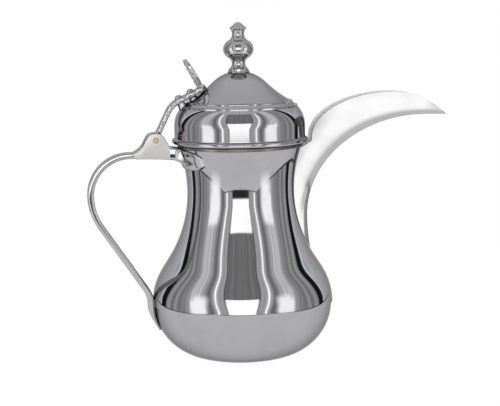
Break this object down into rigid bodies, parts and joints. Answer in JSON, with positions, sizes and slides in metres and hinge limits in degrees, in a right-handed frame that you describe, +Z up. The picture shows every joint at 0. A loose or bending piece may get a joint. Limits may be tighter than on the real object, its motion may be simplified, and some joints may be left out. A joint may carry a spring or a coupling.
{
  "type": "coffee pot",
  "caption": "Polished steel coffee pot with a waisted body, open crescent spout, strap handle and hinged domed lid with a finial.",
  "frame": {"origin": "middle of the flat underside of the base, on the surface that the pot stands on", "axes": "+X from the pot's axis towards the tip of the spout, +Z up, the handle on the -X side"},
  "size_m": [0.2921, 0.144, 0.2672],
  "materials": {
    "polished_steel": "mirror polished stainless steel",
    "plain_steel": "satin stainless steel",
    "brass": "worn brass"
  },
  "bodies": {
    "pot": {"upper_body": "polished_steel", "lower_bowl": "polished_steel", "base_disc": "plain_steel", "mouth_ring": "polished_steel", "spout": "polished_steel", "spout_strainer": "plain_steel", "hinge_saddle": "polished_steel", "hinge_bracket": "polished_steel", "hinge_pin": "brass", "handle_loop": "polished_steel"},
    "lid": {"lid_dome": "polished_steel", "lid_collar": "plain_steel", "hinge_strap": "polished_steel", "thumb_lever": "polished_steel", "strap_rivets": "polished_steel", "finial": "polished_steel", "finial_stud": "plain_steel", "finial_washer": "plain_steel", "finial_nut": "plain_steel"}
  },
  "joints": [
    {"name": "lid_hinge", "type": "hinge", "parent": "pot", "child": "lid", "pos_m": [-0.068, 0, 0.1765], "axis": [0, -1, 0], "range_deg": [0, 110]}
  ]
}
